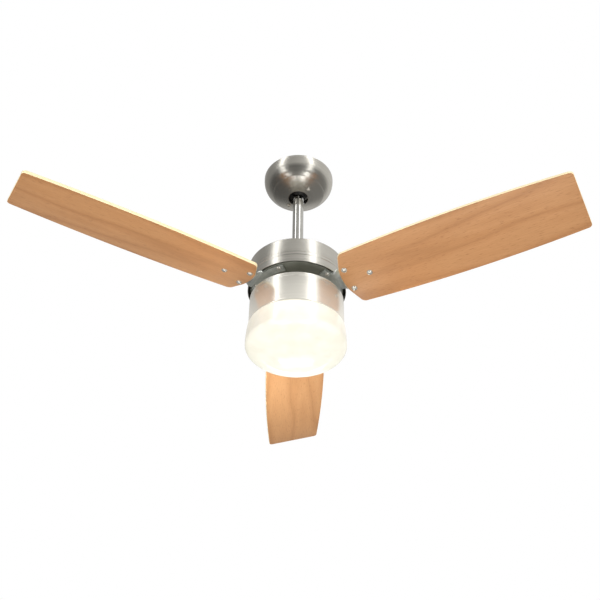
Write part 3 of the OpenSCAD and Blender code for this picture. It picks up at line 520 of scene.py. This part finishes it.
outside = canopyOutline(canopy, canopyHigh.x, 0)
inside = canopyOutline(canopy, canopyHigh.x, canopy["wall"])
canopyShell = spinOutline("canopyShell", [(canopyHigh.x - canopy["wall"], 0), (canopyHigh.x, 0)] + outside
                          + inside[::-1], 160, angle=9)
addBevel(canopyShell, 0.35 * mm, 2, 45)
screwX = screwHigh.x - canopy["headRadius"]
screwY = screwLow.y + canopy["headRadius"]
screwPlaces = [(screwX, screwY), (-screwX, -screwY)]
pads = []
for x, y in screwPlaces:
    deselectAll()
    bpy.ops.mesh.primitive_cylinder_add(vertices=48, radius=canopy["padRadius"], depth=canopy["padHeight"],
                                        location=(x, y, canopy["seat"] + canopy["padHeight"] / 2))
    pad = bpy.context.object
    bpy.ops.object.transform_apply(location=True, rotation=True, scale=True)
    addBevel(pad, 0.4 * mm, 3, 60)
    pads.append(pad)
canopyShell = joinPieces([canopyShell] + pads, "canopyShell")
dress(canopyShell, spunNickel)
standFor(canopyShell, "ceiling_mount", "satin_nickel", "canopy")
print("made the canopy")


# Screws

# Shares of the head's and the shank's sizes, the same on every screw
screwForm = {"rim": 0.25, "crown": 0.8, "root": 0.86, "flank": 0.42, "point": 0.8, "recessReach": 1.05,
             "recessWidth": 0.2}


def makeScrew(name, look):
    # A domed head that faces down, a cross recess in it, and a shank that points up; the washer is optional
    headR, headH = look["head"] * mm, look["headHeight"] * mm
    shank, pitch, length = look["shank"] * mm, look["pitch"] * mm, look["length"] * mm
    dome = [(headR * sin(radians(a)), -headH * (cos(radians(a)) ** screwForm["crown"]))
            for a in range(12, 84, 8)]
    outline = [(0, -headH)] + dome + [(headR, -screwForm["rim"] * headH), (headR, 0), (shank, 0)]
    for k in range(int(look["length"] / look["pitch"])):
        z = (k + 0.5) * pitch
        outline += [(shank * screwForm["root"], z - screwForm["flank"] * pitch), (shank, z)]
    outline += [(shank * screwForm["point"], length), (0, length)]
    screw = spinOutline(name, outline, 32, closed=False, angle=32)
    # Cross recess, cut with two tapered blades
    for turn in (0, 90):
        deselectAll()
        bpy.ops.mesh.primitive_cube_add(size=1, location=(0, 0, -headH))
        cutter = bpy.context.object
        cutter.scale = (headR * screwForm["recessReach"], headR * screwForm["recessWidth"], headH)
        cutter.rotation_euler = (0, 0, radians(turn))
        bpy.ops.object.transform_apply(location=True, rotation=True, scale=True)
        pick(screw)
        cut = screw.modifiers.new("recess", "BOOLEAN")
        cut.operation = "DIFFERENCE"
        cut.solver = "EXACT"
        cut.object = cutter
        bpy.ops.object.modifier_apply(modifier=cut.name)
        bpy.data.objects.remove(cutter)
    if look.get("washer"):
        r, t = look["washer"] * mm, look["washerHeight"] * mm
        hole = shank + 0.2 * mm
        section = [(hole, 0), (hole, t), (r, t), (r, 0.35 * t), (r - 0.3 * mm, 0)]
        washer = spinOutline(name + "Washer", section, 40)
        screw = joinPieces([screw, washer], name)
    pick(screw)
    bpy.ops.object.shade_smooth_by_angle(angle=radians(32))
    dress(screw, looks["nickelPlatedScrew"])
    return screw


def placeScrews(screw, name, matrices, body, *nodeNames):
    made = joinPieces([placeCopy(screw, name + str(k), m) for k, m in enumerate(matrices)], name)
    standFor(made, body, "plated_screw", *nodeNames)
    bpy.data.objects.remove(screw)


canopyScrew = {"head": 3.8, "headHeight": 2.4, "shank": 1.95, "length": 15, "pitch": 1.2}
placeScrews(makeScrew("canopyScrew", canopyScrew), "canopyScrews",
            [Matrix.Translation((x, y, canopy["seat"])) @ Matrix.Rotation(0.4 + x * 30, 4, "Z")
             for x, y in screwPlaces],
            "ceiling_mount", "canopy_screws")


# Downrod and coupling cover

rodLow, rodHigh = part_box("downrod")
rod = {"wall": 1.8 * mm, "edge": 0.5 * mm}
r, edge, bore = rodHigh.x, rod["edge"], rodHigh.x - rod["wall"]
downrod = spinOutline("downrodTube", [(r - edge, rodHigh.z), (r, rodHigh.z - edge), (r, rodLow.z + edge),
                                      (r - edge, rodLow.z), (bore, rodLow.z), (bore, rodHigh.z)], 96)
dress(downrod, looks["brightTube"])
standFor(downrod, "hanger", "polished_steel", "downrod")

bellLow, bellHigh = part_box("coupling_cover")
bell = {"wall": 1.2 * mm, "hole": 11.4 * mm, "oval": 42 * 1.08 * mm}
outA = 180 / pi * acos(bell["hole"] / bellHigh.x)
inA = 180 / pi * acos(bell["hole"] / (bellHigh.x - bell["wall"]))
couplingBell = spinOutline(
    "couplingBell",
    arcPoints((0, bellLow.z), (bellHigh.x, bell["oval"]), 0, outA, 26)
    + arcPoints((0, bellLow.z), (bellHigh.x - bell["wall"], bell["oval"] - bell["wall"]), inA, 0, 26), 120)
addBevel(couplingBell, 0.3 * mm, 2, 50)
dress(couplingBell, spunNickel)
standFor(couplingBell, "hanger", "satin_nickel", "coupling_cover")


# Motor cover and light housing

coverLow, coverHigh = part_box("motor_cover")
# Each groove is (rise, half width) in mm; groove is its depth as a share of its half width
cover = {"wall": 1.2 * mm, "corner": 2.5 * mm, "hole": 16.6 * mm, "lip": 0.4 * mm, "lipIn": 0.2 * mm,
         "grooves": ((23.5, 0.55), (16.5, 0.9)), "groove": 0.6}
skin, wall, corner = coverHigh.x, cover["wall"], cover["corner"]
grooves = []
for rise, half in cover["grooves"]:
    z, half = coverLow.z + rise * mm, half * mm
    depth = cover["groove"] * half
    grooves += [(skin, z + half), (skin - depth * 0.7, z + half * 0.5), (skin - depth, z),
                (skin - depth * 0.7, z - half * 0.5), (skin, z - half)]
motorCup = spinOutline(
    "motorCup",
    [(cover["hole"], coverHigh.z)]
    + arcPoints((skin - corner, coverHigh.z - corner), (corner, corner), 90, 0, 8) + grooves
    + [(skin, coverLow.z + cover["lip"]), (skin - cover["lipIn"], coverLow.z),
       (skin - wall + cover["lipIn"], coverLow.z), (skin - wall, coverLow.z + cover["lip"])]
    + arcPoints((skin - corner, coverHigh.z - corner), (corner - wall, corner - wall), 0, 90, 6)
    + [(cover["hole"], coverHigh.z - wall)], 192, angle=24)
dress(motorCup, spunNickel)
standFor(motorCup, "hanger", "satin_nickel", "motor_cover")

housingLow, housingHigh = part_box("light_housing")
housing = {"wall": 1.2 * mm, "corner": 2.5 * mm, "hole": 8.1 * mm, "bead": 0.7 * mm, "beadHalf": 2 * mm,
           "grooveDrop": 9 * mm, "groove": 0.5 * mm, "grooveHalf": 0.55 * mm}
skin, wall, corner = housingHigh.x - housing["bead"], housing["wall"], housing["corner"]
z, half, low = housingHigh.z - housing["grooveDrop"], housing["grooveHalf"], housingLow.z
lightCup = spinOutline(
    "lightCup",
    [(housing["hole"], housingHigh.z)]
    + arcPoints((skin - corner, housingHigh.z - corner), (corner, corner), 90, 0, 8)
    + [(skin, z + half), (skin - 0.3 * mm, z + 0.35 * mm), (skin - housing["groove"], z),
       (skin - 0.3 * mm, z - 0.35 * mm), (skin, z - half), (skin, low + 2 * housing["beadHalf"])]
    + arcPoints((skin, low + housing["beadHalf"]), (housing["bead"], housing["beadHalf"]), 70, -70, 8)
    + [(skin - wall + 0.2 * mm, low), (skin - wall, low + 0.3 * mm)]
    + arcPoints((skin - corner, housingHigh.z - corner), (corner - wall, corner - wall), 0, 90, 6)
    + [(housing["hole"], housingHigh.z - wall)], 192, angle=24)
# The light cup wears the nickel with the painted glow, strongest near its mouth
dress(lightCup, nickelWithPaintedGlow)
standFor(lightCup, "hanger", "satin_nickel", "light_housing")
print("made the rod, the bell and the two cups")


# Glass shade

glass = {"wall": 3 * mm, "neck": 82.2 * mm, "taper": 2.6 * mm, "wideDrop": 36 * mm, "cornerX": 30 * mm,
         "cornerZ": 15 * mm, "sag": 8 * mm, "gap": 1 * mm, "shoulder": 3 * mm, "edge": 0.8 * mm,
         "inset": 4 * mm}
shoulderZ = housingLow.z - glass["gap"]


def glassSide(inward):
    # Side wall from under the shoulder, the round corner, and the shallow bowl to the middle
    r = shadeHigh.x - inward
    cornerX, cornerZ = glass["cornerX"] - inward, glass["cornerZ"] - inward
    bottom = shadeLow.z + inward
    wideZ = shoulderZ - glass["wideDrop"]
    side, steps = [], 16
    for k in range(steps + 1):
        z = shoulderZ - glass["shoulder"] + (wideZ - shoulderZ + glass["shoulder"]) * k / steps
        side.append((r - glass["taper"] * ((z - wideZ) / (shoulderZ - wideZ)) ** 2, z))
    side += arcPoints((r - cornerX, bottom + glass["sag"] + cornerZ), (cornerX, cornerZ), 0, -90, 22)
    side += [((r - cornerX) * (1 - k / steps), bottom + glass["sag"] * (1 - k / steps) ** 2)
             for k in range(1, steps + 1)]
    return side


outer = glassSide(0)
inner = glassSide(glass["wall"])
neck, neckIn, edge, bend = glass["neck"], glass["neck"] - glass["wall"], glass["edge"], glass["shoulder"]
glassShade = spinOutline(
    "opalShade",
    [(neck - edge, shadeHigh.z), (neck, shadeHigh.z - edge), (neck, shoulderZ)]
    + arcPoints((outer[0][0] - bend, shoulderZ - bend), (bend, bend), 90, 12, 6)
    + outer + inner[::-1]
    + [(neckIn, shoulderZ - glass["inset"]), (neckIn, shadeHigh.z - edge), (neckIn + edge, shadeHigh.z)],
    192, closed=True, angle=50)
dress(glassShade, looks["litOpalGlass"])
standFor(glassShade, "shade", "opal_glass", "glass_shade")
glassShade.visible_shadow = False  # lets the lamps inside light what is around the shade
print("made the glass shade")


# Blades

# Sizes in mm and angles in degrees
blade = {"sweep": 1080, "width": 128, "thick": 5.5, "root": 98, "pitch": 14, "phase": 0.8, "wide": 325,
         "bow": 3150, "rootBow": 110, "rootCorner": 12, "tipCorner": 7, "tipShare": 0.44, "armSheet": 3,
         "armRise": 10.6, "edge": 0.7}
screwSpots = [(111, 22), (111, -22), (152, 0)]
tipReach = sqrt((blade["sweep"] / 2) ** 2 - (blade["width"] * blade["tipShare"]) ** 2)
armPivot = (housingHigh.z / mm + blade["armRise"]
            + (blade["thick"] + blade["armSheet"] / 2) * cos(radians(blade["pitch"])))


def halfWidth(s):
    return blade["width"] / 2 - (s - blade["wide"]) ** 2 / (2 * blade["bow"])


def rootEdge(t):
    return blade["root"] + blade["rootBow"] - sqrt(blade["rootBow"] ** 2 - t * t)


def bladeOutline():
    rootS = rootEdge(halfWidth(120))
    rootCorner = (rootS, halfWidth(rootS))
    nearRoot = (rootS + 30, halfWidth(rootS + 30))
    rootNext = (rootEdge(32), 32)
    nearTip = (tipReach - 30, halfWidth(tipReach - 30))
    tipCorner = (tipReach, halfWidth(tipReach))
    half = [(rootEdge(t), t) for t in range(0, 27, 4)]
    half += roundCorner(rootNext, rootCorner, nearRoot, blade["rootCorner"], 10)
    for k in range(1, 31):
        s = nearRoot[0] + (nearTip[0] - nearRoot[0]) * k / 30
        half.append((s, halfWidth(s)))
    half += roundCorner(nearTip, tipCorner, (tipReach, 0), blade["tipCorner"], 8)
    return half + [(x, -y) for x, y in half[:0:-1]]


def makeBoard():
    board = drawOutline("bladeBoard", [(x * mm, y * mm, 0) for x, y in bladeOutline()])
    editAll(board)
    bpy.ops.mesh.edge_face_add()
    bpy.ops.mesh.extrude_region_move(TRANSFORM_OT_translate={"value": (0, 0, blade["thick"] * mm)})
    bpy.ops.mesh.select_all(action="SELECT")
    bpy.ops.mesh.normals_make_consistent(inside=False)
    bpy.ops.object.mode_set(mode="OBJECT")
    addBevel(board, blade["edge"] * mm, 3, 60)
    dress(board, looks["beechLaminate"], looks["creamEdgeBand"])
    for face in board.data.polygons:
        face.material_index = 0 if abs(face.normal.z) > 0.75 else 1
    return board


def bladeTurn(number):
    # From the blade's own plane, its lower face at z = 0, to its place on the fan
    return (Matrix.Rotation(radians(90 + blade["phase"] + (number - 1) * 120), 4, "Z")
            @ Matrix.Translation((0, 0, armPivot * mm)) @ Matrix.Rotation(radians(-blade["pitch"]), 4, "X")
            @ Matrix.Translation((0, 0, -(blade["thick"] + blade["armSheet"] / 2) * mm)))


board = makeBoard()
for number in (1, 2, 3):
    # Each board is unwrapped at its own spot, so that no two have the same grain
    spot = Vector((0.9, 0.37, 0)) * number
    one = placeCopy(board, "bladeBoard%d" % number, Matrix.Translation(spot))
    editAll(one)
    bpy.ops.uv.cube_project(cube_size=1, correct_aspect=False, clip_to_bounds=False, scale_to_bounds=False)
    bpy.ops.object.mode_set(mode="OBJECT")
    one.data.uv_layers[0].name = "boardFace"
    one.matrix_world = bladeTurn(number) @ Matrix.Translation(-spot)
    pick(one)
    bpy.ops.object.transform_apply(location=True, rotation=True, scale=True)
    standFor(one, "rotor", "blade_wood", "blade_%d" % number)
bpy.data.objects.remove(board)

bladeScrew = {"head": 4.3, "headHeight": 2.4, "shank": 2.35, "length": 10.9, "pitch": 1.3, "washer": 5.4,
              "washerHeight": 1.0}
places = []
for number in (1, 2, 3):
    for k, (x, y) in enumerate(screwSpots):
        seat = (x * mm, y * mm, -bladeScrew["washerHeight"] * mm)
        places.append(bladeTurn(number) @ Matrix.Translation(seat)
                      @ Matrix.Rotation(0.7 * k + number, 4, "Z"))
placeScrews(makeScrew("bladeScrew", bladeScrew), "bladeScrews", places, "rotor", "blade_screws")

footScrew = {"head": 4.4, "headHeight": 3.0, "shank": 2.35, "length": 7.5, "pitch": 1.3}
foot = {"radius": 79 * mm, "angles": (-16, 34), "sheet": blade["armSheet"] * mm}
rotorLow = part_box("rotor_lower_shell")[0]
places = []
for number in (1, 2, 3):
    for k, a in enumerate(foot["angles"]):
        turn = Matrix.Rotation(radians(90 + blade["phase"] + (number - 1) * 120 + a), 4, "Z")
        places.append(turn @ Matrix.Translation((foot["radius"], 0, rotorLow.z - foot["sheet"]))
                      @ Matrix.Rotation(k + number, 4, "Z"))
placeScrews(makeScrew("footScrew", footScrew), "footScrews", places, "rotor", "foot_screws")
print("made the blades and their screws")


# Arms, rotor and the parts at the ceiling

# Node: the piece's name, the width of its broken edges in mm, its body, its slot and its look
arm = ("rotor", "zinc_plate", "zincPlatedSteel")
softPieces = {
    "arm_1": ("bladeArm1", 0.5, *arm), "arm_2": ("bladeArm2", 0.5, *arm), "arm_3": ("bladeArm3", 0.5, *arm),
    "rotor_lower_shell": ("rotorPlate", 0.5, "rotor", "rotor_cast", "castAluminium"),
    "jam_nut": ("jamNut", 0.5, "hanger", "zinc_plate", "zincPlatedSteel"),
    # The bracket's black look is black paint and also painted shade inside the canopy
    "hanger_bracket": ("hangerBracket", 0.4, "ceiling_mount", "black_steel", "blackPaintAndShade"),
    "remote_receiver": ("remoteReceiver", 1.5, "ceiling_mount", "receiver_case", "whiteAbs"),
    "terminal_block": ("terminalBlock", 0.8, "ceiling_mount", "terminal_plastic", "creamPolyamide"),
    "run_capacitor": ("runCapacitor", 1.5, "hanger", "capacitor_case", "blackCase")}
for nodeName, (pieceName, width, body, slotName, lookName) in softPieces.items():
    piece = softEdged(nodeName, pieceName, width * mm)
    dress(piece, looks[lookName])
    standFor(piece, body, slotName, nodeName)
print("broke the edges of", len(softPieces), "pieces")

# Painted shade: a black plate at the ceiling, shaped like a plate where the mains cable comes in, put there
# to darken the view up through the canopy's hole
shadePlate = {"middle": (16, 54), "size": (17, 22, 2), "top": -0.5, "rivetGap": 7}
x, y = shadePlate["middle"]
w, d, t = shadePlate["size"]
deselectAll()
bpy.ops.mesh.primitive_cube_add(size=1, location=(x * mm, y * mm, (shadePlate["top"] - t / 2) * mm),
                                scale=(w * mm, d * mm, t * mm))
plate = bpy.context.object
plate.name = "shadeBlockingPlate"
bpy.ops.object.transform_apply(location=True, rotation=True, scale=True)
addBevel(plate, 0.5 * mm, 3)
rivets = []
for side in (-1, 1):
    # Two rivets with round heads on its lower face
    head = spinOutline("rivet", [(0, -1.1 * mm), (1.1 * mm, -0.9 * mm), (1.8 * mm, -0.4 * mm), (2 * mm, 0),
                                 (0, 0)], 24, closed=False)
    rivets.append(placeCopy(head, "rivet%d" % side, Matrix.Translation(
        (x * mm, (y + side * shadePlate["rivetGap"]) * mm, (shadePlate["top"] - t) * mm))))
    bpy.data.objects.remove(head)
plate = joinPieces([plate] + rivets, "shadeBlockingPlate")
dress(plate, looks["blackPaintAndShade"])
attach(plate, "ceiling_mount")

# The pieces that stay as they are modelled get their finish
slotLooks = {
    "zinc_plate": "zincPlatedSteel", "plated_screw": "nickelPlatedScrew", "black_steel": "blackOxideSteel",
    "ball_nylon": "blackNylon", "receiver_case": "whiteAbs", "terminal_plastic": "creamPolyamide",
    "lead_sleeve": "siliconeSleeve", "cast_yoke": "paintedCasting", "ground_shaft": "groundSteel",
    "core_steel": "stackedCoreSteel", "copper_wire": "enamelledCopperWire", "rotor_cast": "castAluminium",
    "tray_enamel": "whiteEnamel", "capacitor_case": "blackCase", "holder_ceramic": "glazedCeramic",
    "lamp_cap": "platedBrass", "lamp_glass": "litLampGlass", "polished_steel": "brightTube",
    "blade_wood": "beechLaminate", "opal_glass": "litOpalGlass", "satin_nickel": "spunSatinNickel"}
for part in frame["record"]["subparts"]:
    material = looks[slotLooks[part["material_slot"]]]
    for slotPlace in nodes[part["node"]].material_slots:
        slotPlace.material = material
print("dressed the model's own pieces")


# Studio

studio = {"floorDrop": 1.95, "floorSize": 40, "floorShade": "#efeeeb", "floorTint": "#f4f3f0", "below": 0.33,
          "heights": (-0.35, 0.15), "left": 0.36, "right": 0.84, "sides": (-0.8, 0.6)}
deselectAll()
bpy.ops.mesh.primitive_plane_add(size=studio["floorSize"], location=(0, 0, -studio["floorDrop"]))
floor = bpy.context.object
floor.name = "studioFloor"
floorPaint, tree, shader = startMaterial("matPaintedFloor")
speck = addNode(tree, "ShaderNodeTexNoise", {"Vector": addNode(tree, "ShaderNodeTexCoord").outputs["Object"],
                                             "Scale": 3, "Detail": 2})
tree.links.new(addRamp(tree, speck.outputs[0], [(0.3, colour(studio["floorShade"])),
                                            (0.7, colour(studio["floorTint"]))]),
               shader.inputs["Base Color"])
shader.inputs["Roughness"].default_value = 0.7
dress(floor, floorPaint)
floor.visible_glossy = False  # the polished pieces mirror the studio's light, not the floor

world = bpy.data.worlds.new("studioWorld")
bpy.context.scene.world = world
world.use_nodes = True
tree = world.node_tree
tree.nodes.clear()
direction = addNode(tree, "ShaderNodeTexCoord").outputs["Generated"]
apart = addNode(tree, "ShaderNodeSeparateXYZ", {0: direction})
# Bright from above and from the right, dim from below: that is what the nickel mirrors
height = addNode(tree, "ShaderNodeMapRange", {"Value": apart.outputs[2], "From Min": studio["heights"][0],
                                              "From Max": studio["heights"][1], "To Min": studio["below"],
                                              "To Max": 1.0}, interpolation_type="SMOOTHSTEP")
side = addNode(tree, "ShaderNodeMapRange", {"Value": apart.outputs[0], "From Min": studio["sides"][0],
                                            "From Max": studio["sides"][1], "To Min": studio["left"],
                                            "To Max": studio["right"]})
strength = addNode(tree, "ShaderNodeMath", {0: height.outputs[0], 1: side.outputs[0]}, operation="MULTIPLY")
around = addNode(tree, "ShaderNodeBackground", {"Color": (1, 0.99, 0.97, 1), "Strength": strength.outputs[0]})
white = addNode(tree, "ShaderNodeBackground", {"Color": (1, 1, 1, 1), "Strength": 1.0})
seen = addNode(tree, "ShaderNodeLightPath").outputs["Is Camera Ray"]
chosen = addNode(tree, "ShaderNodeMixShader", {0: seen, 1: around.outputs[0], 2: white.outputs[0]})
addNode(tree, "ShaderNodeOutputWorld", {"Surface": chosen.outputs[0]})

middle = Vector((0, 0, -0.33))


def addPanel(name, azimuth, height, distance, width, tall, glow):
    # A soft box that faces the fan's middle; azimuth 0 stands on the camera's side
    swing, rise = radians(azimuth), radians(height)
    place = middle + Vector((sin(swing) * cos(rise), -cos(swing) * cos(rise), sin(rise))) * distance
    deselectAll()
    bpy.ops.object.light_add(type="AREA", location=place)
    panel = bpy.context.object
    panel.name = name
    panel.data.shape = "RECTANGLE"
    panel.data.size = width
    panel.data.size_y = tall
    panel.data.energy = glow * pi * width * tall
    panel.visible_camera = False
    panel.rotation_euler = (middle - place).to_track_quat("-Z", "Y").to_euler()
    return panel


# Each tall strip is three panels, one above another, so that the whole height of a wall mirrors it
for sideName, azimuth in (("left", -51), ("right", 36)):
    addPanel(sideName + "HighStrip", azimuth, 40, 2.6, 0.42, 3.2, 3.9)
    addPanel(sideName + "MiddleStrip", azimuth, -12, 2.4, 0.4, 1.6, 3.6)
    addPanel(sideName + "LowStrip", azimuth, -58, 1.5, 0.3, 1.3, 4.5)
addPanel("lowFill", -15, -40, 2.4, 2.4, 1.2, 0.7).visible_glossy = False

# The lamps' glow that leaves through the glass, as small warm lights inside it
glowRing = {"radius": 0.07, "height": -0.425, "count": 6, "power": 0.35, "size": 0.015,
            "tint": (1, 0.88, 0.68)}
for k in range(glowRing["count"]):
    a = 2 * pi * (k + 0.5) / glowRing["count"]
    deselectAll()
    bpy.ops.object.light_add(type="POINT", location=(glowRing["radius"] * cos(a), glowRing["radius"] * sin(a),
                                                     glowRing["height"]))
    glow = bpy.context.object
    glow.name = "lampGlow%d" % k
    glow.data.energy = glowRing["power"]
    glow.data.color = glowRing["tint"]
    glow.data.shadow_soft_size = glowRing["size"]

# A soft light behind the shade that looks up at the back blade
backLook = {"place": (0, 0.24, -0.56), "size": 0.12, "power": 0.8, "tint": (0.85, 0.95, 1), "turn": 166}
deselectAll()
bpy.ops.object.light_add(type="AREA", location=backLook["place"])
backGlow = bpy.context.object
backGlow.name = "backGlow"
backGlow.data.size = backLook["size"]
backGlow.data.energy = backLook["power"]
backGlow.data.color = backLook["tint"]
backGlow.visible_camera = False
backGlow.rotation_euler = (radians(backLook["turn"]), 0, 0)

# Camera below the fan and in front of it, looking up
cameraLook = {"place": (0.0062, -1.2198, -1.3165), "up": 39.078, "roll": 0.75, "lens": 50.195, "sensor": 36,
              "near": 0.01}
tilt, roll = radians(cameraLook["up"]), radians(cameraLook["roll"])
forward = Vector((0, cos(tilt), sin(tilt)))
upward = Vector((0, -sin(tilt), cos(tilt)))
right = Vector((1, 0, 0))
cameraX = right * cos(roll) + upward * sin(roll)
cameraY = -right * sin(roll) + upward * cos(roll)
deselectAll()
bpy.ops.object.camera_add(location=cameraLook["place"])
camera = bpy.context.object
camera.name = "studioCamera"
camera.data.lens = cameraLook["lens"]
camera.data.sensor_width = cameraLook["sensor"]
camera.data.clip_start = cameraLook["near"]
turn = Matrix((cameraX, cameraY, -forward)).transposed().to_4x4()
camera.matrix_world = Matrix.Translation(cameraLook["place"]) @ turn
bpy.context.scene.camera = camera
bpy.context.scene.view_settings.view_transform = "Standard"
print("set up the studio")
